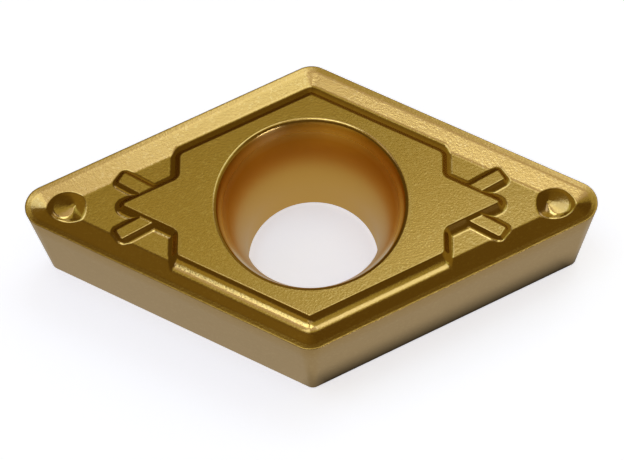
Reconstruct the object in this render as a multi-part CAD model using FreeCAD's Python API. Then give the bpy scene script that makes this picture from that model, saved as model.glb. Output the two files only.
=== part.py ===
"""Rhombic indexable cutting insert with 55 degree noses, 7 degree clearance and a moulded chip breaker.

Units are millimetres and degrees. The origin is the centre of the seating face, +Z points up to the
cutting edges, and the two 55 degree noses lie on the X axis. The X = 0 and Y = 0 planes are planes of
symmetry. An "inset" is a distance inwards from the cutting edge, measured square to it. A "drop" or
a "rise" is measured down or up from the level of the cutting edges.
"""

import FreeCAD
import Part
import math
import os

# Blank
inscribed_circle = 9.525
nose_angle = 55.0
edge_height = 3.97
clearance_angle = 7.0
nose_radius = 0.8
blunt_corner_radius = 0.8
edge_hone = 0.04

# Rake face: a narrow land along the cutting edge, then a steeper slope down to a flat floor
land_width = 0.22
land_angle = 5.0
rake_angle = 12.5
floor_drop = 0.165

# Raised plateau, wide round the screw hole and drawn out into a tongue towards each nose. What lies
# along the X axis is placed by its distance back from the nose's sharp corner.
plateau_rise = 0.10
plateau_inset = 1.12
plateau_apex_radius = 0.10
wall_angle = 50.0
nose_to_shoulder = 5.99
shoulder_radius = 0.20
nose_to_tongue = 4.13
tongue_half_angle = 27.5
tongue_tip_radius = 0.06
tongue_root_radius = 0.12
plateau_edge_round = 0.09

# Four ribs, which leave the flanks of the tongues and spread towards the cutting edges
rib_drop = 0.0
rib_setback = 1.71
rib_angle = 31.0
rib_length = 2.08
rib_width = 0.40
rib_end_radius = 0.07
rib_edge_round = 0.05

# Chip bump behind each nose: a steep ring, then a gentle cone whose peak leans towards the plateau.
# The brow between them is rounded over its reach, measured along the radius both ways.
nose_to_bump = 2.26
bump_radius = 0.68
bump_ring_width = 0.24
bump_ring_rise = 0.13
bump_brow_reach = 0.16
bump_peak_rise = 0.03
bump_lean = 0.33
bump_peak_radius = 0.06

# Hollow rounding at the foot of everything that stands on the floor, and where ribs meet the tongues
foot_round = 0.22

# Screw hole, from the plateau down: round rim, seat cone, curved throat, straight bore
rim_radius = 3.12
rim_round = 0.10
seat_depth = 0.45
seat_radius = 2.91
bore_radius = 2.20
bore_length = 1.10

# Worked out from the above
half_nose = math.radians(nose_angle / 2)
half_length = inscribed_circle / 2 / math.sin(half_nose)
half_width = inscribed_circle / 2 / math.cos(half_nose)
clearance_slope = math.tan(math.radians(clearance_angle))
land_slope = math.tan(math.radians(land_angle))
rake_slope = math.tan(math.radians(rake_angle))
wall_slope = math.tan(math.radians(wall_angle))
floor_z = edge_height - floor_drop
plateau_z = edge_height + plateau_rise
rib_z = edge_height - rib_drop
land_drop = land_width * land_slope
floor_inset = land_width + (floor_drop - land_drop) / rake_slope
wall_run = (plateau_z - floor_z) / wall_slope
shoulder_x = half_length - nose_to_shoulder
tongue_tip_x = half_length - nose_to_tongue
bump_x = half_length - nose_to_bump

# How far a tool solid runs past what it cuts or joins, so that no two faces lie on each other
margin = floor_drop / 4
headroom = edge_height / 4


def vec(x, y, z=0.0):
    return FreeCAD.Vector(x, y, z)


def four_fold(quarter):
    """Closed ring of (x, y, radius) corners from those of one quarter, which runs from +X to +Y."""
    right = [c for c in quarter if c[0] > 0]
    top = [c for c in quarter if c[0] == 0]
    upper = right + top + [(-x, y, r) for x, y, r in reversed(right)]
    lower = [(-x, -y, r) for x, y, r in upper if y > 0]
    return upper + lower


def rounded_ring(corners, grow, z):
    """Wire at height z round the corners, every side moved outwards by grow.

    A convex corner's radius grows by as much and a hollow corner's shrinks, so that rings of one
    outline at different heights stay parallel, and the walls between them are flat and conical.
    """
    count = len(corners)
    sides = []
    for i in range(count):
        x, y, _ = corners[i]
        next_x, next_y, _ = corners[(i + 1) % count]
        sides.append(vec(next_x - x, next_y - y).normalize())
    arcs = []
    for i in range(count):
        x, y, radius = corners[i]
        before, after = sides[i - 1], sides[i]
        turn = math.atan2(before.cross(after).z, before.dot(after))
        outward = vec(before.y + after.y, -before.x - after.x).normalize()
        corner = vec(x, y, z) + outward * (grow / math.cos(turn / 2))
        side = 1 if turn > 0 else -1
        radius += side * grow
        back = radius * math.tan(abs(turn) / 2)
        centre = corner - outward * (side * radius / math.cos(turn / 2))
        arcs.append((corner - before * back, centre + outward * (side * radius), corner + after * back))
    edges = []
    for i in range(count):
        start, middle, end = arcs[i]
        edges.append(Part.Arc(start, middle, end).toShape())
        edges.append(Part.LineSegment(end, arcs[(i + 1) % count][0]).toShape())
    return Part.Wire(edges)


def drafted(corners, spread, level, low_z, high_z):
    """Solid from low_z to high_z, whose outline is the ring of corners at the height level.

    spread is how far its walls move outwards for each millimetre down.
    """
    low = rounded_ring(corners, (level - low_z) * spread, low_z)
    high = rounded_ring(corners, (level - high_z) * spread, high_z)
    return Part.makeLoft([low, high], True, True)


def edges_at(shape, z):
    """Edges of a shape that lie wholly at height z."""
    near = 1e-5
    boxes = [(edge, edge.BoundBox) for edge in shape.Edges]
    return [edge for edge, box in boxes if abs(box.ZMin - z) < near and abs(box.ZMax - z) < near]


def middle_of(edge):
    return edge.valueAt((edge.FirstParameter + edge.LastParameter) / 2)


def inside_blank(point):
    return abs(point.x) < half_length and abs(point.y) < half_width


def blank():
    """Rhombic body with round corners, tapered by the clearance angle and left over-long at the top."""
    outline = four_fold([(half_length, 0, nose_radius), (0, half_width, blunt_corner_radius)])
    return drafted(outline, -clearance_slope, edge_height, 0, plateau_z + headroom)


def rake_height(inset):
    """Height of the land and the rake slope at an inset from the cutting edge."""
    if inset <= land_width:
        return edge_height - inset * land_slope
    return edge_height - land_drop - (inset - land_width) * rake_slope


def sharp_rhombus(inset, z):
    """Rhombus with sharp corners, its sides moved inwards from the cutting edges by inset."""
    x = half_length - inset / math.sin(half_nose)
    y = half_width - inset / math.cos(half_nose)
    return Part.makePolygon([vec(x, 0, z), vec(0, y, z), vec(-x, 0, z), vec(0, -y, z), vec(x, 0, z)])


def corner_tool(centre, facing, half_sweep, section):
    """Section of (radius, height) points swept round a corner's own centre."""
    points = [vec(centre[0] + radius, centre[1], z) for radius, z in section]
    face = Part.Face(Part.makePolygon(points + points[:1]))
    axis = vec(centre[0], centre[1])
    face.rotate(axis, vec(0, 0, 1), facing - half_sweep)
    return face.revolve(axis, vec(0, 0, 1), 2 * half_sweep)


def rake_basin():
    """Space above the rake face: planes along the four sides, and cones round the four corners."""
    over = headroom
    top = plateau_z + 2 * headroom
    deep_inset = floor_inset + margin / rake_slope
    basin = Part.makeLoft([
        sharp_rhombus(deep_inset, rake_height(deep_inset)),
        sharp_rhombus(land_width, rake_height(land_width)),
        sharp_rhombus(-over, rake_height(-over)),
        sharp_rhombus(-over, top),
    ], True, True)
    nose_x = half_length - nose_radius / math.sin(half_nose)
    blunt_y = half_width - blunt_corner_radius / math.cos(half_nose)
    nose_sweep = 90 - nose_angle / 2
    blunt_sweep = nose_angle / 2
    corners = [
        ((nose_x, 0), 0, nose_sweep, nose_radius),
        ((0, blunt_y), 90, blunt_sweep, blunt_corner_radius),
        ((-nose_x, 0), 180, nose_sweep, nose_radius),
        ((0, -blunt_y), 270, blunt_sweep, blunt_corner_radius),
    ]
    for centre, facing, half_sweep, radius in corners:
        reach = radius + 2 * half_length
        sector = corner_tool(centre, facing, half_sweep, [(0, 0), (reach, 0), (reach, top), (0, top)])
        basin = basin.cut(sector)
    for centre, facing, half_sweep, radius in corners:
        section = [(radius - inset, rake_height(inset)) for inset in (radius, land_width, -over)]
        section += [(radius + over, top), (0, top)]
        basin = basin.fuse(corner_tool(centre, facing, half_sweep, section))
    return basin.removeSplitter()


def plateau():
    """Plateau with its two tongues and drafted walls that reach under the floor."""
    tongue_slope = math.tan(math.radians(tongue_half_angle))
    root_y = (tongue_tip_x - shoulder_x) * tongue_slope
    apex_y = half_width - plateau_inset / math.cos(half_nose)
    shoulder_y = apex_y - shoulder_x * math.tan(half_nose)
    outline = four_fold([
        (tongue_tip_x, 0, tongue_tip_radius),
        (shoulder_x, root_y, tongue_root_radius + wall_run),
        (shoulder_x, shoulder_y, shoulder_radius),
        (0, apex_y, plateau_apex_radius),
    ])
    return drafted(outline, 1 / wall_slope, plateau_z, floor_z - margin, plateau_z)


def rib(side_x, side_y):
    """Round-ended bar along one flank of a tongue, from the tongue's middle line outwards."""
    heading = math.radians(rib_angle)
    root = vec(tongue_tip_x - rib_setback, 0)
    along = vec(math.cos(heading), math.sin(heading))
    across = vec(-along.y, along.x) * (rib_width / 2)
    tip = root + along * rib_length
    outline = [root - across, tip - across, tip + across, root + across]
    if side_x * side_y < 0:
        outline.reverse()
    corners = [(side_x * point.x, side_y * point.y, rib_end_radius) for point in outline]
    bar = drafted(corners, 1 / wall_slope, rib_z, floor_z - margin, rib_z)
    return bar.makeFillet(rib_edge_round, edges_at(bar, rib_z))


def bump(side_x):
    """Chip bump: circles that shrink upwards from the foot to the brow, then shift towards the plateau.

    A circle is its own shift, radius and height. Those of the brow lie on a quadratic curve.
    """
    steps = 4
    ring_slope = bump_ring_rise / bump_ring_width
    foot = vec(0, bump_radius + margin / ring_slope, floor_z - margin)
    brow = vec(0, bump_radius - bump_ring_width, floor_z + bump_ring_rise)
    peak = vec(bump_lean, bump_peak_radius, edge_height + bump_peak_rise)
    first = brow + (foot - brow) * (bump_brow_reach / (foot.y - brow.y))
    last = brow + (peak - brow) * (bump_brow_reach / (brow.y - peak.y))
    circles = [foot]
    for step in range(steps + 1):
        t = step / steps
        circles.append(first * (1 - t) ** 2 + brow * (2 * t * (1 - t)) + last * t ** 2)
    circles.append(peak)
    rings = [Part.Wire(Part.makeCircle(c.y, vec(side_x * (bump_x - c.x), 0, c.z))) for c in circles]
    return Part.makeLoft(rings, True, True)


def feet(shape):
    """Edges along the floor, and the straight ones that rise from it, where a rib meets a tongue."""
    near = 1e-5
    rising = [
        edge for edge in shape.Edges
        if edge.Curve.TypeId == "Part::GeomLine"
        and abs(edge.BoundBox.ZMin - floor_z) < near < edge.BoundBox.ZLength
    ]
    return [edge for edge in edges_at(shape, floor_z) + rising if inside_blank(middle_of(edge))]


def relief():
    """Everything that stands on the floor, on a slab whose top is the floor itself."""
    reach_x = half_length + 2 * headroom
    reach_y = half_width + 2 * headroom
    slab = Part.makeBox(2 * reach_x, 2 * reach_y, headroom, vec(-reach_x, -reach_y, floor_z - headroom))
    island = plateau()
    raised = slab.fuse(island.makeFillet(plateau_edge_round, edges_at(island, plateau_z)))
    for side_x in (1, -1):
        raised = raised.fuse(bump(side_x))
        for side_y in (1, -1):
            raised = raised.fuse(rib(side_x, side_y))
    return raised.makeFillet(foot_round, feet(raised))


def screw_hole():
    """Revolved tool for the hole: round rim, seat cone, throat arc tangent to the bore, and the bore."""
    seat_z = plateau_z - seat_depth
    seat_tilt = math.atan2(rim_radius - seat_radius, seat_depth)
    rim_turn = math.pi / 2 - seat_tilt
    back = rim_round * math.tan(rim_turn / 2)
    rim_start = (rim_radius + back, plateau_z)
    rim_end = (rim_radius - back * math.sin(seat_tilt), plateau_z - back * math.cos(seat_tilt))
    rim_middle = (
        rim_start[0] - rim_round * math.sin(rim_turn / 2),
        plateau_z - rim_round * (1 - math.cos(rim_turn / 2)),
    )
    step = seat_radius - bore_radius
    drop = seat_z - bore_length
    throat_radius = (step ** 2 + drop ** 2) / (2 * step)
    half_turn = math.asin(drop / throat_radius) / 2
    throat_middle = (
        bore_radius + throat_radius * (1 - math.cos(half_turn)),
        bore_length + throat_radius * math.sin(half_turn),
    )
    section = [
        (rim_start, rim_middle, rim_end),
        (rim_end, (seat_radius, seat_z)),
        ((seat_radius, seat_z), throat_middle, (bore_radius, bore_length)),
        ((bore_radius, bore_length), (bore_radius, -headroom)),
        ((bore_radius, -headroom), (0, -headroom)),
        ((0, -headroom), (0, plateau_z + headroom)),
        ((0, plateau_z + headroom), (rim_start[0], plateau_z + headroom)),
        ((rim_start[0], plateau_z + headroom), rim_start),
    ]
    edges = []
    for piece in section:
        points = [vec(radius, 0, z) for radius, z in piece]
        curve = Part.Arc(*points) if len(points) == 3 else Part.LineSegment(*points)
        edges.append(curve.toShape())
    face = Part.Face(Part.Wire(edges))
    return face.revolve(vec(0, 0), vec(0, 0, 1), 360)


def insert():
    """The whole insert: blank, rake face with its relief, screw hole, and the honed edge last."""
    body = blank().cut(rake_basin().cut(relief()))
    body = body.cut(screw_hole())
    return body.makeFillet(edge_hone, edges_at(body, edge_height))


def main():
    os.makedirs("parts", exist_ok=True)
    insert().exportStep("parts/insert.step")


main()
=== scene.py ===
"""A gold coated rhombic turning insert, lying on a pale table under soft studio light.

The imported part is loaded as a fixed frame. Its one node is dressed by a single closed surface, worked
out in millimetres on a grid of columns round the insert and rows across it, and written in metres.
"""

import math

import bpy
import numpy as np
from mathutils import Matrix, Vector


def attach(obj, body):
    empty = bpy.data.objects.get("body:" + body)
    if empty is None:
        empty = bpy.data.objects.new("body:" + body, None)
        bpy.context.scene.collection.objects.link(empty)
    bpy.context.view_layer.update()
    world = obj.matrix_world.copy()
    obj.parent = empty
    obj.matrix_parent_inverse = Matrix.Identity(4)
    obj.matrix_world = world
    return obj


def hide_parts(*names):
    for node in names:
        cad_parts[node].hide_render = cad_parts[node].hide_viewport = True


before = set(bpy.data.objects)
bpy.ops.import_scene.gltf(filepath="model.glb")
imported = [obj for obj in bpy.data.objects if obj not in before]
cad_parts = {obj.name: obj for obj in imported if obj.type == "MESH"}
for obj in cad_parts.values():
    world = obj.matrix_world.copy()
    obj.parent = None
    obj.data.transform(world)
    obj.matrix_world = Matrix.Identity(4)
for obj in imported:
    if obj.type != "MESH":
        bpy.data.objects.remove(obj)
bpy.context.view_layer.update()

MM = 0.001
WIDTH_PX = 624

# Blank, in millimetres and degrees, as in the part's own source but for a sharper hone
CIRCLE = 9.525
NOSE_ANGLE = 55.0
EDGE_Z = 3.97
CLEARANCE = 7.0
CORNER_R = 0.8
HONE_R = 0.02

# Rake face
LAND_W = 0.22
LAND_TILT = 5.0
RAKE_TILT = 12.5
FLOOR_DROP = 0.165

# Plateau, ribs and chip bumps
PLATEAU_RISE = 0.10
PLATEAU_INSET = 1.12
WALL_TILT = 50.0
APEX_R = 0.10
SHOULDER_BACK = 5.99
SHOULDER_R = 0.20
TONGUE_BACK = 4.13
TONGUE_R = 0.06
ROOT_FOOT_R = 0.12
FOOT_R = 0.28
RIB_SETBACK = 1.71
RIB_HEADING = 31.0
RIB_LENGTH = 2.08
RIB_W = 0.40
RIB_END_R = 0.07
RIB_ROUND = 0.06
RIB_FOOT_R = 0.22
BUMP_BACK = 2.26
BUMP_R = 0.68
BUMP_RING_W = 0.24
BUMP_RING_RISE = 0.13
BUMP_LEAN = 0.33
BUMP_PEAK_RISE = 0.03
BUMP_PEAK_R = 0.10
BUMP_ROUND = 0.40
BUMP_FOOT_R = 0.22

# Screw hole, with a softer rim than in the part's own source
RIM_R = 3.12
RIM_ROUND = 0.15
SEAT_DEPTH = 0.45
SEAT_R = 2.91
BORE_R = 2.20
BORE_L = 1.10

# Roundings that only the finished surface shows
VALLEY_R = 0.05
LAND_R = 0.25
FLOOR_R = 0.60
FLOOR_LET_DOWN = 0.035
PLATEAU_ROUND = 0.06
FRONT_WALL_TILT = 45.0
FRONT_GROOVE_R = 0.68
BACK_GROOVE_R = 0.45
BUMP_BLUNT = 0.012

# Camera, fitted to the photograph's outline: the turn and height are in degrees, the rest in millimetres
TURN = 2.80
HEIGHT = 62.251
ROLL = -2.885
DISTANCE = 96.134
ASIDE = (-0.050, 0.996)
FOCAL_PX = 2831.05
SENSOR = 36.0
NEAREST = 1.0

# Table, in metres, and what it shows of itself to the camera
TABLE_SIZE = 4.0
TABLE_Z = -0.00002
TABLE_TONE = 0.95
TABLE_GLOW = 0.72
# Under the hole the table glows less: a painted shade
TABLE_GLOW_PAINTED_SHADE_IN_HOLE = 0.50
TABLE_GLOW_TINT = (0.86, 0.89, 1.0)

# What the metal sees of the table: a pale sheet that fades out between two distances, in metres. It is
# longer along x, where a distance counts for less
TABLE_SHEET_TINT = (1.0, 0.93, 0.80)
TABLE_SHEET_GLOW = 0.47
TABLE_SHEET_NARROW = 0.55
TABLE_SHEET_FADE = (0.006, 0.010)
TABLE_FAR_GLOW = 0.10

# The painted shadow on the sheet at the insert's foot: its depth as a share, and in millimetres how far it
# reaches out from the foot, in under it and along x
TABLE_SHADE_WIDTH = 0.48
TABLE_SHADE_DEPTH = 0.92
TABLE_SHADE_UNDER = (-0.6, -0.2)
TABLE_SHADE_ENDS = ((-0.5, 0.5), (9.4, 8.6))

# Where the painted shade on the table in the hole ends and the table turns as bright as the rest, from the
# bore's radius, in millimetres
TABLE_HOLE_SHADE_FADE = (-0.15, 0.3)

# Lamps, in degrees and metres. The brightness is what the metal sees of them, where 1 is white
LAMPS = {
    "ceiling_lamp": {"turn": -116, "height": 80, "roll": -26, "size": (0.48, 0.49),
        "bright": 2.75, "tint": (0.80, 1.00, 1.27)},
    "ceiling_strip": {"turn": 31, "height": 69, "roll": 19, "size": (0.49, 0.55),
        "bright": 1.40, "tint": (0.80, 1.00, 1.45)},
    "ceiling_glow": {"turn": -32, "height": 80, "roll": 14, "size": (0.60, 0.58),
        "bright": 0.23, "tint": (1.08, 1.00, 2.57)},
    "ceiling_panel": {"turn": 11, "height": 85, "roll": 21, "size": (0.72, 1.48),
        "bright": 0.44, "tint": (0.95, 1.00, 0.51)},
    "left_panel": {"turn": -118, "height": 55, "roll": -20, "size": (1.30, 0.57),
        "bright": 0.31, "tint": (1.09, 1.00, 0.40)},
    "front_panel": {"turn": -173, "height": 62, "roll": 15, "size": (0.77, 0.20),
        "bright": 0.66, "tint": (0.93, 1.00, 1.17)},
    "window": {"turn": 141, "height": 2.5, "roll": 51, "size": (0.50, 0.12),
        "bright": 9.0, "tint": (1.0, 1.0, 1.0)},
    "left_glow": {"turn": -81, "height": 58.6, "roll": 0, "size": (0.33, 0.36),
        "bright": 1.00, "tint": (0.92, 1.00, 1.60)},
    "right_glow": {"turn": 63, "height": 56.4, "roll": 10, "size": (0.60, 0.66),
        "bright": 0.50, "tint": (0.76, 1.00, 0.65)},
}
LAMP_AWAY = 1.5

# Surroundings: dim and warm, and lighter on the right
DIM_LEFT = (0.145, 0.095, 0.022)
DIM_RIGHT = (0.33, 0.25, 0.07)
LIGHTER_SIDE = (0.85, 0.53, 0)
LIGHTER_BETWEEN = (0.1, 0.8)

# Coating, with lengths in metres: satin, mottled between two tones, and with rare paler facets that are
# painted glints
COATING_TONES = ((0.500, 0.322, 0.088), (0.540, 0.350, 0.102))
COATING_ROUGHNESS = 0.15
MOTTLE_SCALE = 900.0
MOTTLE_DETAIL = 4.0
GLINT_FACET_TONE = (0.70, 0.52, 0.22)
GLINT_FACET_FROM = 0.80
GLINT_FACET_STRENGTH = 0.25
GRAIN_SIZE = 0.00007
GRAIN_DETAIL = 3.0
GRAIN_DEPTH = 0.000004
GRAIN_STRENGTH = 0.5

# Coating in the hole: paler on the seat, then orange and duller. The paler and orange base colours are
# painted light, brighter than the coating outside, for the light in the hole. The steps are in millimetres
SEAT_PAINTED_LIGHT = (0.95, 0.76, 0.42)
SEAT_PAINTED_LIGHT_ENDS = (0.05, -0.15)
HOLE_PAINTED_LIGHT = (0.84, 0.51, 0.12)
HOLE_ROUGHNESS = 0.36
SEATING_SKIN = 0.01

# Columns on each piece of a quarter of the plateau's outline, and rows on each part of the section
COLUMN_COUNTS = [66, 84, 10, 16, 14, 26, 10]
SEAT_FACE_ROWS = 3
BORE_ROWS = 2
THROAT_ROWS = 9
SEAT_ROWS = 3
ROUND_ROWS = 5
PLATEAU_ROWS = 6
WALL_ROWS = 13
FLOOR_ROWS = 50
LAND_MARGIN = 0.06
LAND_ROWS = 5
HONE_ROWS = 7
FLANK_ROWS = 4

# The angle from which an edge is sharp, and the step over which the top face's slope is taken
SHARP_ANGLE = 40.0
SLOPE_STEP = 0.003

# Worked out from the above
HALF = math.radians(NOSE_ANGLE / 2)
SIN, COS = math.sin(HALF), math.cos(HALF)
HALF_LENGTH = CIRCLE / 2 / SIN
HALF_WIDTH = CIRCLE / 2 / COS
CLEAR_SLOPE = math.tan(math.radians(CLEARANCE))
LAND_SLOPE = math.tan(math.radians(LAND_TILT))
RAKE_SLOPE = math.tan(math.radians(RAKE_TILT))
WALL_SLOPE = math.tan(math.radians(WALL_TILT))
FRONT_WALL_SLOPE = math.tan(math.radians(FRONT_WALL_TILT))
FLOOR_Z = EDGE_Z - FLOOR_DROP
PLATEAU_Z = EDGE_Z + PLATEAU_RISE
WALL_RUN = (PLATEAU_Z - FLOOR_Z) / WALL_SLOPE
TONGUE_X = HALF_LENGTH - TONGUE_BACK
SHOULDER_X = HALF_LENGTH - SHOULDER_BACK
APEX_Y = HALF_WIDTH - PLATEAU_INSET / COS
SHOULDER_Y = APEX_Y - SHOULDER_X * SIN / COS
BUMP_X = HALF_LENGTH - BUMP_BACK
RIB_SLOPE = WALL_SLOPE


def plateau_corners():
    """Corners of one quarter of the plateau's top, from the tongue's tip to the blunt apex."""
    return [
        (TONGUE_X, 0.0, TONGUE_R),
        (SHOULDER_X, (TONGUE_X - SHOULDER_X) * SIN / COS, ROOT_FOOT_R + WALL_RUN),
        (SHOULDER_X, SHOULDER_Y, SHOULDER_R),
        (0.0, APEX_Y, APEX_R),
    ]


def edge_corners():
    """Corners of one quarter of the cutting edge, from the nose to the blunt corner."""
    return [(HALF_LENGTH, 0.0, CORNER_R), (0.0, HALF_WIDTH, CORNER_R)]


def outline_pieces(corners):
    """Arcs and straights of a quarter outline, in order, as (kind, values) pairs.

    The arcs at both ends are whole ones, half of them past the axis. An arc is a centre, a radius and
    two angles. A hollow corner has a negative radius, so that on every arc centre + radius * direction
    is the outline and the direction is its outward normal.
    """
    points = [np.array(corner[:2]) for corner in corners]
    chain = [points[1] * (1, -1)] + points + [points[-2] * (-1, 1)]
    pieces = []
    end = None
    for i, (x, y, radius) in enumerate(corners):
        here = chain[i + 1]
        come = here - chain[i]
        come /= np.linalg.norm(come)
        leave = chain[i + 2] - here
        leave /= np.linalg.norm(leave)
        turn = math.atan2(come[0] * leave[1] - come[1] * leave[0], come @ leave)
        back = radius * math.tan(abs(turn) / 2)
        first = math.atan2(-come[0], come[1])
        signed = math.copysign(radius, turn)
        start = here - come * back
        centre = start - signed * outward(first)
        if end is not None:
            pieces.append(("line", (end, start)))
        pieces.append(("arc", (centre, signed, first, first + turn)))
        end = here + leave * back
    return pieces


def outward(angle):
    """Unit vector at an angle, for one angle or an array of them."""
    return np.stack([np.cos(angle), np.sin(angle)], axis=-1)


def on_piece(piece, share):
    """Points and outward normals on one piece, at shares 0 to 1 of its length."""
    kind, values = piece
    share = np.asarray(share, float)[:, None]
    if kind == "line":
        start, end = values
        along = (end - start) / np.linalg.norm(end - start)
        normals = np.array([along[1], -along[0]]) + 0 * share
        return start + share * (end - start), normals
    centre, radius, first, last = values
    normals = outward((first + share * (last - first))[:, 0])
    return centre + radius * normals, normals


def piece_length(piece):
    """Length of one piece of an outline."""
    kind, values = piece
    if kind == "line":
        return float(np.linalg.norm(values[1] - values[0]))
    return abs(values[1] * (values[3] - values[2]))


def distance_to(pieces, x, y):
    """Signed distance from the outline, positive outside: of the pieces that a point faces, the nearest.

    A point faces a straight when its foot lies on it, and an arc when it lies in the arc's sector.
    """
    point = np.stack([np.abs(x), np.abs(y)], axis=-1)
    best = np.full(x.shape, np.inf)
    for kind, values in pieces:
        if kind == "line":
            start, end = values
            length = np.linalg.norm(end - start)
            along = (end - start) / length
            foot = (point - start) @ along
            signed = (point - start) @ np.array([along[1], -along[0]])
            faces = (foot > -1e-9) & (foot < length + 1e-9)
        else:
            centre, radius, first, last = values
            arm = (point - centre) * math.copysign(1, radius)
            signed = math.copysign(1, radius) * (np.hypot(arm[..., 0], arm[..., 1]) - abs(radius))
            middle, half = (first + last) / 2, abs(last - first) / 2
            off = np.arctan2(arm[..., 1], arm[..., 0]) - middle
            off = (off + math.pi) % (2 * math.pi) - math.pi
            faces = np.abs(off) <= half + 1e-9
        closer = faces & (np.abs(signed) < np.abs(best))
        best = np.where(closer, signed, best)
    return best


def round_max(a, b, slope_a, slope_b, radius):
    """The higher of two slopes, with the hollow between them filled by an arc tangent to both.

    slope_a and slope_b are the rises of a and b for each millimetre along the way from a to b. The way
    is measured back from the difference of the two heights, so a and b may be any surfaces.
    """
    tilt_a, tilt_b = np.arctan(slope_a), np.arctan(slope_b)
    way = (b - a) / (slope_b - slope_a)
    reach = radius * np.tan((tilt_b - tilt_a) / 2)
    first, last = -reach * np.cos(tilt_a), reach * np.cos(tilt_b)
    centre = first - radius * np.sin(tilt_a)
    centre_z = first * slope_a + radius * np.cos(tilt_a)
    inside = np.clip(way, first, last)
    arc = centre_z - np.sqrt(radius ** 2 - (inside - centre) ** 2)
    filled = a + arc - slope_a * inside
    return np.where(way <= first, a, np.where(way >= last, b, filled))


def round_min(a, b, slope_a, slope_b, radius):
    """The lower of two slopes, with the ridge between them rounded by an arc."""
    return -round_max(-a, -b, -slope_a, -slope_b, radius)


def ease(value, low, high):
    """Smooth step from 0 at low to 1 at high."""
    t = np.clip((value - low) / (high - low), 0, 1)
    return t * t * (3 - 2 * t)


def rake_face(x, y):
    """Land, rake slope and floor, by the distance in from the cutting edge.

    Between the noses the floor is let down under the plateau, where the groove's own arc takes over.
    """
    inset = -distance_to(EDGE, x, np.hypot(y, VALLEY_R))
    land = -inset * LAND_SLOPE
    slope = -LAND_W * LAND_SLOPE - (inset - LAND_W) * RAKE_SLOPE
    height = round_min(land, slope, -LAND_SLOPE, -RAKE_SLOPE, LAND_R)
    floor = -FLOOR_DROP - (1 - nose_share(x, y)) * FLOOR_LET_DOWN
    return round_max(height, floor, -RAKE_SLOPE, 0.0, FLOOR_R)


def nose_share(x, y):
    """0 along the middle of the insert and 1 in the noses, measured along the sides.

    The change lies past the plateau's outer shoulder corner, over twice the corner's radius.
    """
    past = (np.abs(x) - SHOULDER_X) * COS - (np.abs(y) - SHOULDER_Y) * SIN
    return ease(past, -0.5 * SHOULDER_R, 1.5 * SHOULDER_R)


def plateau_over(ground, x, y):
    """Plateau on the ground: flat top, round edge, drafted wall and hollow foot.

    The foot's arc is as wide as the chip groove along the straights and tight in the noses. The two
    grooves at the front are rounder than the two at the back.
    """
    outside = distance_to(PLATEAU, x, y)
    share = nose_share(x, y)
    straight_slope = np.where(y < 0, FRONT_WALL_SLOPE, WALL_SLOPE)
    groove = np.where(y < 0, FRONT_GROOVE_R, BACK_GROOVE_R)
    slope = straight_slope + (WALL_SLOPE - straight_slope) * share
    wall = PLATEAU_RISE - outside * slope
    top = round_min(wall, PLATEAU_RISE + 0 * x, slope, 0.0, PLATEAU_ROUND)
    foot = groove + (FOOT_R - groove) * share
    return round_max(ground, top, -RAKE_SLOPE * (1 - share), slope, foot)


def rib_over(ground, x, y):
    """Rib on the ground: a round-ended bar, by the distance from a rectangle with round corners."""
    heading = math.radians(RIB_HEADING)
    from_x, from_y = np.abs(x) - (TONGUE_X - RIB_SETBACK), np.abs(y)
    along = from_x * math.cos(heading) + from_y * math.sin(heading)
    across = from_y * math.cos(heading) - from_x * math.sin(heading)
    off_end = np.abs(along - RIB_LENGTH / 2) - (RIB_LENGTH / 2 - RIB_END_R)
    off_side = np.abs(across) - (RIB_W / 2 - RIB_END_R)
    corner = np.hypot(np.maximum(off_end, 0), np.maximum(off_side, 0))
    outside = corner + np.minimum(np.maximum(off_end, off_side), 0) - RIB_END_R
    top = round_min(-outside * RIB_SLOPE, 0 * x, RIB_SLOPE, 0.0, RIB_ROUND)
    return round_max(ground, top, 0.0, RIB_SLOPE, RIB_FOOT_R)


def leaning_cone(x, y, low, high):
    """Height of the cone through two circles, each given as (centre x, radius, height).

    A point lies on the circle whose centre and radius have moved the same share t of the way from low
    to high, and t solves a quadratic.
    """
    shift, shrink = high[0] - low[0], low[1] - high[1]
    from_x = x - low[0]
    square = shrink ** 2 - shift ** 2
    half = from_x * shift - low[1] * shrink
    rest = from_x ** 2 + y ** 2 - low[1] ** 2
    share = (-half - np.sqrt(np.maximum(half ** 2 + square * rest, 0))) / square
    return low[2] + share * (high[2] - low[2])


def bump_over(ground, x, y):
    """Chip bump on the ground: a steep ring, then a cone whose peak leans towards the plateau."""
    foot = (BUMP_X, BUMP_R, -FLOOR_DROP)
    brow = (BUMP_X, BUMP_R - BUMP_RING_W, -FLOOR_DROP + BUMP_RING_RISE)
    peak = (BUMP_X - BUMP_LEAN, 0.0, BUMP_PEAK_RISE)
    ring = leaning_cone(np.abs(x), y, foot, brow)
    cone = leaning_cone(np.abs(x), y, brow, peak)
    ring_slope = BUMP_RING_RISE / BUMP_RING_W
    cone_slope = (peak[2] - brow[2]) / brow[1]
    side = round_min(ring, cone, ring_slope, cone_slope, BUMP_ROUND)
    blunt = round_min(side, BUMP_PEAK_RISE - BUMP_BLUNT + 0 * x, cone_slope, 0.0, BUMP_PEAK_R)
    return round_max(ground, blunt, 0.0, ring_slope, BUMP_FOOT_R)


def top_face(x, y):
    """Height of the whole moulded top face above the seating face."""
    height = rake_face(x, y)
    height = plateau_over(height, x, y)
    height = rib_over(height, x, y)
    return EDGE_Z + bump_over(height, x, y)


def top_normals(x, y):
    """Unit normals of the top face, from its rise over a short step each way."""
    rise_x = top_face(x + SLOPE_STEP, y) - top_face(x - SLOPE_STEP, y)
    rise_y = top_face(x, y + SLOPE_STEP) - top_face(x, y - SLOPE_STEP)
    normals = np.stack([-rise_x, -rise_y, 2 * SLOPE_STEP + 0 * x], axis=-1)
    return normals / np.linalg.norm(normals, axis=-1, keepdims=True)


PLATEAU = outline_pieces(plateau_corners())
EDGE = outline_pieces(edge_corners())


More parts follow.
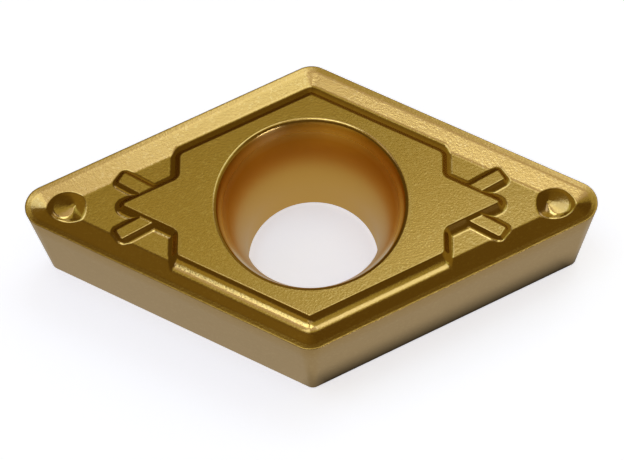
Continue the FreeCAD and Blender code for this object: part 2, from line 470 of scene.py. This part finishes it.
def columns():
    """Where each column of one quarter meets the plateau's outline and the cutting edge.

    Returns the points and normals on both. The columns are shared out over the pieces of the plateau's
    outline. On the cutting edge each piece's columns end square across from the piece's own end, and
    the first and last pieces are matched to the nose and the blunt corner.
    """
    inner_points, inner_normals, edge_way = [], [], [0.0]
    half_nose = piece_length(EDGE[0]) / 2
    side = piece_length(EDGE[1])
    side_start = EDGE[1][1][0]
    side_along = (EDGE[1][1][1] - side_start) / side
    whole = half_nose + side + piece_length(EDGE[2]) / 2
    for i, (piece, count) in enumerate(zip(PLATEAU, COLUMN_COUNTS)):
        first = 0.5 if i == 0 else 0.0
        last = 0.5 if i == len(PLATEAU) - 1 else 1.0
        shares = first + (last - first) * np.arange(count) / count
        points, normals = on_piece(piece, shares)
        inner_points.append(points)
        inner_normals.append(normals)
        end, _ = on_piece(piece, [last])
        across = half_nose + float((end[0] - side_start) @ side_along)
        edge_way.append(across)
    end_points, end_normals = on_piece(PLATEAU[-1], [0.5])
    inner_points.append(end_points)
    inner_normals.append(end_normals)
    edge_way[-2], edge_way[-1] = half_nose + side, whole
    knots = np.concatenate([[0], np.cumsum(COLUMN_COUNTS)])
    way = np.interp(np.arange(knots[-1] + 1), knots, edge_way)
    nose_points, nose_normals = on_piece(EDGE[0], 0.5 + 0.5 * np.clip(way / half_nose, 0, 1))
    side_points, side_normals = on_piece(EDGE[1], np.clip((way - half_nose) / side, 0, 1))
    blunt_share = np.clip((way - half_nose - side) / (whole - half_nose - side), 0, 1)
    blunt_points, blunt_normals = on_piece(EDGE[2], 0.5 * blunt_share)
    on_nose, on_side = (way < half_nose)[:, None], (way <= half_nose + side)[:, None]
    edge_points = np.where(on_nose, nose_points, np.where(on_side, side_points, blunt_points))
    edge_normals = np.where(on_nose, nose_normals, np.where(on_side, side_normals, blunt_normals))
    return np.concatenate(inner_points), np.concatenate(inner_normals), edge_points, edge_normals


def fillet_points(corner, angle_in, angle_out, radius, count):
    """Points of an arc that rounds a corner of a section, from one ray of the corner to the other."""
    ray_in, ray_out = outward(np.radians(angle_in)), outward(np.radians(angle_out))
    half = math.radians(abs(angle_out - angle_in)) / 2
    middle = ray_in + ray_out
    middle /= np.linalg.norm(middle)
    centre = np.array(corner) + middle * radius / math.sin(half)
    start = np.array(corner) + ray_in * radius / math.tan(half) - centre
    end = np.array(corner) + ray_out * radius / math.tan(half) - centre
    first = math.atan2(start[1], start[0])
    turn = (math.atan2(end[1], end[0]) - first + math.pi) % (2 * math.pi) - math.pi
    return centre + radius * outward(first + turn * np.linspace(0, 1, count))


def hole_section():
    """Section of the screw hole from the seating face up: bore, throat arc, seat cone and round rim."""
    seat_z = PLATEAU_Z - SEAT_DEPTH
    step, drop = SEAT_R - BORE_R, seat_z - BORE_L
    throat_r = (step ** 2 + drop ** 2) / (2 * step)
    turn = np.linspace(0, math.asin(drop / throat_r), THROAT_ROWS)
    throat = np.stack([BORE_R + throat_r * (1 - np.cos(turn)), BORE_L + throat_r * np.sin(turn)], -1)
    bore = np.stack([np.full(BORE_ROWS, BORE_R), np.linspace(0, BORE_L, BORE_ROWS, endpoint=False)], -1)
    seat_angle = 270 - math.degrees(math.atan2(RIM_R - SEAT_R, SEAT_DEPTH))
    rim = fillet_points((RIM_R, PLATEAU_Z), seat_angle, 360, RIM_ROUND, ROUND_ROWS)
    seat = throat[-1] + np.linspace(0, 1, SEAT_ROWS + 1)[1:, None] * (rim[0] - throat[-1])
    return np.concatenate([bore, throat, seat, rim[1:]])


def rows(side):
    """The rows of one quarter, each as x, y and z for every column, from the seating face inwards.

    They run in over the seating face, up the hole, out over the top face and down the flank. All lie at
    positive y; the side, 1 at the back and -1 at the front, only picks the shape of the top face.
    """
    inner, inner_normal, edge, edge_normal = columns()
    round_about = outward(np.arctan2(inner[:, 1], inner[:, 0]))
    found = []

    def add(plan, z):
        found.append(np.column_stack([plan, np.broadcast_to(z, len(plan))]))

    foot = edge - edge_normal * (EDGE_Z * CLEAR_SLOPE)
    for share in np.linspace(0, 1, SEAT_FACE_ROWS, endpoint=False):
        add(foot + share * (round_about * BORE_R - foot), 0.0)
    section = hole_section()
    for radius, z in section:
        add(round_about * radius, z)
    rim = round_about * section[-1][0]
    brim = inner - inner_normal * (PLATEAU_ROUND * math.tan(math.radians(WALL_TILT / 2)))
    for share in np.linspace(0, 1, PLATEAU_ROWS + 1)[1:]:
        add(rim + share * (brim - rim), PLATEAU_Z)
    under = inner + inner_normal * (WALL_RUN + FOOT_R * math.tan(math.radians(WALL_TILT / 2)))
    for share in np.linspace(0, 1, WALL_ROWS + 1)[1:]:
        plan = brim + share * (under - brim)
        add(plan, top_face(plan[:, 0], side * plan[:, 1]))
    land = edge - edge_normal * (LAND_W + LAND_MARGIN)
    for share in np.linspace(0, 1, FLOOR_ROWS + 1)[1:]:
        plan = under + share * (land - under)
        add(plan, top_face(plan[:, 0], side * plan[:, 1]))
    hone = fillet_points((0, EDGE_Z), 180 + LAND_TILT, 270 - CLEARANCE, HONE_R, HONE_ROWS)
    first = -hone[0][0]
    for inset in np.linspace(LAND_W + LAND_MARGIN, first, LAND_ROWS + 1)[1:-1]:
        plan = edge - edge_normal * inset
        add(plan, top_face(plan[:, 0], side * plan[:, 1]))
    for offset, z in hone:
        add(edge + edge_normal * offset, z)
    for share in np.linspace(0, 1, FLANK_ROWS, endpoint=False)[1:]:
        z = hone[-1][1] * (1 - share)
        add(edge - edge_normal * ((EDGE_Z - z) * CLEAR_SLOPE), z)
    return np.stack(found)


def all_round(back, front):
    """The back quarter and the front quarter, both mirrored in x and joined into one closed round."""
    return np.concatenate([
        back[:, :-1],
        (back[:, ::-1] * (-1, 1, 1))[:, :-1],
        (front * (-1, -1, 1))[:, :-1],
        (front[:, ::-1] * (1, -1, 1))[:, :-1],
    ], axis=1)


def insert_surface():
    """The insert as one closed mesh: the grid's rows and columns both close on themselves.

    The plateau's normals are upright, those of the moulded face are the formula's own, and where they
    are zero, Blender works them out from the faces.
    """
    grid = all_round(rows(1), rows(-1))
    row_count, column_count = grid.shape[:2]
    index = np.arange(row_count * column_count).reshape(row_count, column_count)
    next_row, next_column = np.roll(index, -1, axis=0), np.roll(index, -1, axis=1)
    corner = np.roll(next_row, -1, axis=1)
    faces = np.stack([index, next_row, corner, next_column], axis=-1).reshape(-1, 4)
    points = grid.reshape(-1, 3) * MM
    a, b, c = points[faces[:, 0]], points[faces[:, 1]], points[faces[:, 2]]
    if np.einsum("ij,ij->", a, np.cross(b, c)) < 0:
        faces = faces[:, ::-1]
    mesh = bpy.data.meshes.new("coated_insert")
    mesh.from_pydata(points.tolist(), [], faces.tolist())
    mesh.update()
    mesh.shade_smooth()
    mesh.set_sharp_from_angle(angle=math.radians(SHARP_ANGLE))
    normals = np.zeros_like(grid)
    rim_row = SEAT_FACE_ROWS + len(hole_section()) - 1
    wall_row = rim_row + 1 + PLATEAU_ROWS
    moulded = slice(wall_row, wall_row + WALL_ROWS + FLOOR_ROWS + LAND_ROWS - 1)
    normals[rim_row:wall_row] = (0, 0, 1)
    normals[moulded] = top_normals(grid[moulded, :, 0], grid[moulded, :, 1])
    mesh.normals_split_custom_set(normals.reshape(-1, 3)[faces.ravel()].tolist())
    piece = bpy.data.objects.new("coated_insert", mesh)
    bpy.context.scene.collection.objects.link(piece)
    return piece


def shader(name):
    """New node material, its empty node tree and its output node."""
    material = bpy.data.materials.new(name)
    material.use_nodes = True
    tree = material.node_tree
    tree.nodes.clear()
    return material, tree, tree.nodes.new("ShaderNodeOutputMaterial")


def give(tree, value, socket):
    """Link another node's result to an input, or set the input to a number or a colour."""
    if isinstance(value, bpy.types.NodeSocket):
        tree.links.new(value, socket)
    elif isinstance(value, tuple):
        socket.default_value = (*value, 1)
    else:
        socket.default_value = value


def arithmetic(tree, operation, *values):
    """Result of a Math node on links and numbers."""
    node = tree.nodes.new("ShaderNodeMath")
    node.operation = operation
    for value, socket in zip(values, node.inputs):
        give(tree, value, socket)
    return node.outputs[0]


def ramp(tree, value, start, end, low=0.0, high=1.0, smooth=False):
    """Number that goes from low to high while the value goes from start to end."""
    node = tree.nodes.new("ShaderNodeMapRange")
    if smooth:
        node.interpolation_type = "SMOOTHSTEP"
    for name, number in (("From Min", start), ("From Max", end), ("To Min", low), ("To Max", high)):
        node.inputs[name].default_value = number
    tree.links.new(value, node.inputs["Value"])
    return node.outputs["Result"]


def reach_along(tree, vector, direction):
    """How far a vector reaches along a direction."""
    node = tree.nodes.new("ShaderNodeVectorMath")
    node.operation = "DOT_PRODUCT"
    node.inputs[1].default_value = direction
    tree.links.new(vector, node.inputs[0])
    return node.outputs["Value"]


def off_axis(tree, vector, narrow=1.0):
    """Distance from the upright axis, with x narrowed first."""
    level = tree.nodes.new("ShaderNodeVectorMath")
    level.operation = "MULTIPLY"
    level.inputs[1].default_value = (narrow, 1, 0)
    tree.links.new(vector, level.inputs[0])
    node = tree.nodes.new("ShaderNodeVectorMath")
    node.operation = "LENGTH"
    tree.links.new(level.outputs[0], node.inputs[0])
    return node.outputs["Value"]


def mix_colours(tree, share, first, second):
    """Mix of two colours, each a link or its red, green and blue."""
    node = tree.nodes.new("ShaderNodeMix")
    node.data_type = "RGBA"
    tree.links.new(share, node.inputs["Factor"])
    give(tree, first, node.inputs["A"])
    give(tree, second, node.inputs["B"])
    return node.outputs["Result"]


def mix_shaders(tree, share, first, second):
    """The second shader where the share is 1, and the first where it is 0."""
    node = tree.nodes.new("ShaderNodeMixShader")
    for value, socket in zip((share, first, second), node.inputs):
        tree.links.new(value, socket)
    return node.outputs[0]


def emission(tree, tint, strength):
    """Glow of one tint, as strong as a link says."""
    node = tree.nodes.new("ShaderNodeEmission")
    give(tree, tint, node.inputs["Color"])
    tree.links.new(strength, node.inputs["Strength"])
    return node.outputs[0]


def grain_group():
    """Sintered grain under the coating: fine bumps, and rare bright facets for painted glints."""
    group = bpy.data.node_groups.new("sintered_grain", "ShaderNodeTree")
    for name, direction in (("Grain size", "INPUT"), ("Height", "OUTPUT"), ("Facets", "OUTPUT")):
        group.interface.new_socket(name=name, in_out=direction, socket_type="NodeSocketFloat")
    nodes, links = group.nodes, group.links
    given, out = nodes.new("NodeGroupInput"), nodes.new("NodeGroupOutput")
    place = nodes.new("ShaderNodeTexCoord")
    scale = arithmetic(group, "DIVIDE", 1.0, given.outputs["Grain size"])
    bumps = nodes.new("ShaderNodeTexNoise")
    bumps.inputs["Detail"].default_value = GRAIN_DETAIL
    cells = nodes.new("ShaderNodeTexVoronoi")
    for texture in (bumps, cells):
        links.new(place.outputs["Object"], texture.inputs["Vector"])
        links.new(scale, texture.inputs["Scale"])
    chance = nodes.new("ShaderNodeSeparateColor")
    links.new(cells.outputs["Color"], chance.inputs["Color"])
    links.new(bumps.outputs["Fac"], out.inputs["Height"])
    links.new(ramp(group, chance.outputs["Red"], GLINT_FACET_FROM, 1.0), out.inputs["Facets"])
    return group


def coating_material():
    """Gold vapour coating: metal with a satin grain, mottled a little, with painted glints on rare facets,
    and with painted light in the hole, paler and orange.
    """
    material, tree, output = shader("gold_coating")
    nodes, links = tree.nodes, tree.links
    metal = nodes.new("ShaderNodeBsdfPrincipled")
    metal.inputs["Metallic"].default_value = 1.0
    links.new(metal.outputs[0], output.inputs["Surface"])
    place = nodes.new("ShaderNodeTexCoord")
    grain = nodes.new("ShaderNodeGroup")
    grain.node_tree = grain_group()
    grain.inputs["Grain size"].default_value = GRAIN_SIZE
    bump = nodes.new("ShaderNodeBump")
    bump.inputs["Strength"].default_value = GRAIN_STRENGTH
    bump.inputs["Distance"].default_value = GRAIN_DEPTH
    links.new(grain.outputs["Height"], bump.inputs["Height"])
    links.new(bump.outputs["Normal"], metal.inputs["Normal"])

    mottle = nodes.new("ShaderNodeTexNoise")
    mottle.inputs["Scale"].default_value = MOTTLE_SCALE
    mottle.inputs["Detail"].default_value = MOTTLE_DETAIL
    links.new(place.outputs["Object"], mottle.inputs["Vector"])
    tone = mix_colours(tree, mottle.outputs["Fac"], *COATING_TONES)
    # Painted glints: rare facets of the grain get a paler tone
    facets = arithmetic(tree, "MULTIPLY", grain.outputs["Facets"], GLINT_FACET_STRENGTH)
    outer = mix_colours(tree, facets, tone, GLINT_FACET_TONE)

    # The seating face lies within the rim's radius too, so there the radius counts as larger
    apart = nodes.new("ShaderNodeSeparateXYZ")
    links.new(place.outputs["Object"], apart.inputs[0])
    seating = arithmetic(tree, "LESS_THAN", apart.outputs["Z"], SEATING_SKIN * MM)
    radius = arithmetic(tree, "MULTIPLY_ADD", seating, RIM_R * MM, off_axis(tree, place.outputs["Object"]))
    # Painted light in the hole: paler and orange base colours in place of the coating's own
    in_hole = ramp(tree, radius, RIM_R * MM, (RIM_R - RIM_ROUND) * MM)
    under_seat = ramp(tree, radius, *[(SEAT_R + step) * MM for step in SEAT_PAINTED_LIGHT_ENDS])
    inner = mix_colours(tree, under_seat, SEAT_PAINTED_LIGHT, HOLE_PAINTED_LIGHT)
    links.new(mix_colours(tree, in_hole, outer, inner), metal.inputs["Base Color"])
    dull = ramp(tree, radius, RIM_R * MM, (SEAT_R - RIM_ROUND) * MM, COATING_ROUGHNESS, HOLE_ROUGHNESS)
    links.new(dull, metal.inputs["Roughness"])
    return material


def table_material():
    """Pale table: matt, nearly white to the camera where it isn't shaded, and clear from underneath.

    In the metal's gloss it is a pale sheet that fades out round the insert, with a painted shadow at the
    insert's foot, on the side away from the brighter light. To the camera the table under the hole is
    greyer, by a painted shade.
    """
    material, tree, output = shader("pale_table")
    nodes, links = tree.nodes, tree.links
    path = nodes.new("ShaderNodeLightPath")
    spot = nodes.new("ShaderNodeTexCoord").outputs["Object"]
    matt = nodes.new("ShaderNodeBsdfDiffuse")
    matt.inputs["Color"].default_value = (*[TABLE_TONE] * 3, 1)
    # Painted shade: to the camera the table glows less under the hole
    hole_shade_fade = [(BORE_R + step) * MM for step in TABLE_HOLE_SHADE_FADE]
    glow_with_hole_shade = ramp(tree, off_axis(tree, spot), *hole_shade_fade, TABLE_GLOW_PAINTED_SHADE_IN_HOLE, TABLE_GLOW)
    in_view = arithmetic(tree, "MAXIMUM", path.outputs["Is Camera Ray"], path.outputs["Is Transmission Ray"])
    glow = emission(tree, TABLE_GLOW_TINT, arithmetic(tree, "MULTIPLY", in_view, glow_with_hole_shade))
    plain = nodes.new("ShaderNodeAddShader")
    links.new(matt.outputs[0], plain.inputs[0])
    links.new(glow, plain.inputs[1])

    away = off_axis(tree, spot, TABLE_SHEET_NARROW)
    near, far = TABLE_SHEET_FADE
    sheet = ramp(tree, away, far, near, TABLE_FAR_GLOW, TABLE_SHEET_GLOW, smooth=True)
    # Painted shadow of the insert on the sheet, along the foot of the front right flank
    beyond = reach_along(tree, spot, (SIN, -COS, 0))
    foot = CIRCLE / 2 - EDGE_Z * CLEAR_SLOPE
    shade = ramp(tree, beyond, (foot + TABLE_SHADE_WIDTH) * MM, foot * MM, 0.0, TABLE_SHADE_DEPTH)
    sideways = reach_along(tree, spot, (1, 0, 0))
    limits = [(sideways, ends) for ends in TABLE_SHADE_ENDS]
    limits.append((beyond, [foot + step for step in TABLE_SHADE_UNDER]))
    for value, (start, end) in limits:
        shade = arithmetic(tree, "MULTIPLY", shade, ramp(tree, value, start * MM, end * MM))
    lit = arithmetic(tree, "SUBTRACT", 1.0, shade)
    gloss = emission(tree, TABLE_SHEET_TINT, arithmetic(tree, "MULTIPLY", sheet, lit))
    above = mix_shaders(tree, path.outputs["Is Glossy Ray"], plain.outputs[0], gloss)

    facing = nodes.new("ShaderNodeNewGeometry")
    clear = nodes.new("ShaderNodeBsdfTransparent")
    whole = mix_shaders(tree, facing.outputs["Backfacing"], above, clear.outputs[0])
    links.new(whole, output.inputs["Surface"])
    return material


def table():
    """Square table top under the seating face."""
    half = TABLE_SIZE / 2
    corners = [(-half, -half, TABLE_Z), (half, -half, TABLE_Z), (half, half, TABLE_Z), (-half, half, TABLE_Z)]
    mesh = bpy.data.meshes.new("table")
    mesh.from_pydata([Vector(c) for c in corners], [], [(0, 1, 2, 3)])
    mesh.materials.append(table_material())
    floor = bpy.data.objects.new("table", mesh)
    bpy.context.scene.collection.objects.link(floor)


def studio_world():
    """Dim surroundings, lighter on one side, and white where the camera sees them."""
    world = bpy.data.worlds.new("studio")
    bpy.context.scene.world = world
    world.use_nodes = True
    tree = world.node_tree
    nodes, links = tree.nodes, tree.links
    nodes.clear()
    place = nodes.new("ShaderNodeTexCoord")
    toward_side = reach_along(tree, place.outputs["Generated"], LIGHTER_SIDE)
    lighter = ramp(tree, toward_side, *LIGHTER_BETWEEN, smooth=True)
    dim = nodes.new("ShaderNodeBackground")
    links.new(mix_colours(tree, lighter, DIM_LEFT, DIM_RIGHT), dim.inputs["Color"])
    white = nodes.new("ShaderNodeBackground")
    white.inputs["Color"].default_value = (1, 1, 1, 1)
    path = nodes.new("ShaderNodeLightPath")
    seen = mix_shaders(tree, path.outputs["Is Camera Ray"], dim.outputs[0], white.outputs[0])
    output = nodes.new("ShaderNodeOutputWorld")
    links.new(seen, output.inputs["Surface"])


def soft_box(name, lamp):
    """Oblong lamp that faces the insert, placed by its turn from behind and its height, in degrees."""
    turn, height = math.radians(lamp["turn"]), math.radians(lamp["height"])
    toward = Vector((math.sin(turn) * math.cos(height), math.cos(turn) * math.cos(height), math.sin(height)))
    data = bpy.data.lights.new(name, "AREA")
    data.shape = "RECTANGLE"
    data.size, data.size_y = lamp["size"]
    data.energy = lamp["bright"] * math.pi * data.size * data.size_y
    data.color = lamp["tint"]
    piece = bpy.data.objects.new(name, data)
    level = Vector((math.cos(math.radians(lamp["roll"])), math.sin(math.radians(lamp["roll"])), 0))
    upright = toward.cross(level).normalized()
    axes = Matrix((upright.cross(toward), upright, toward)).transposed()
    piece.matrix_world = Matrix.Translation(toward * LAMP_AWAY) @ axes.to_4x4()
    bpy.context.scene.collection.objects.link(piece)


def photo_camera():
    """Camera at the photograph's viewing angle, from its fitted turn, height, roll and distance."""
    turn, height, roll = math.radians(TURN), math.radians(HEIGHT), math.radians(ROLL)
    back = Vector((
        math.sin(turn) * math.cos(height),
        -math.cos(turn) * math.cos(height),
        math.sin(height),
    ))
    level = Vector((0, 0, 1)).cross(back).normalized()
    upright = back.cross(level)
    right = level * math.cos(roll) + upright * math.sin(roll)
    up = upright * math.cos(roll) - level * math.sin(roll)
    data = bpy.data.cameras.new("photo_camera")
    data.sensor_width = SENSOR
    data.lens = SENSOR * FOCAL_PX / WIDTH_PX
    data.clip_start = NEAREST * MM
    camera = bpy.data.objects.new("photo_camera", data)
    place = (back * DISTANCE + right * ASIDE[0] + up * ASIDE[1]) * MM
    axes = Matrix((right, up, back)).transposed()
    camera.matrix_world = Matrix.Translation(place) @ axes.to_4x4()
    bpy.context.scene.collection.objects.link(camera)
    bpy.context.scene.camera = camera


def main():
    """The dressed insert, its table, light and camera."""
    insert = insert_surface()
    insert.data.materials.append(coating_material())
    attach(insert, "root")
    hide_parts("insert")
    table()
    studio_world()
    for name, lamp in LAMPS.items():
        soft_box(name, lamp)
    photo_camera()
    bpy.context.scene.view_settings.view_transform = "Standard"


main()
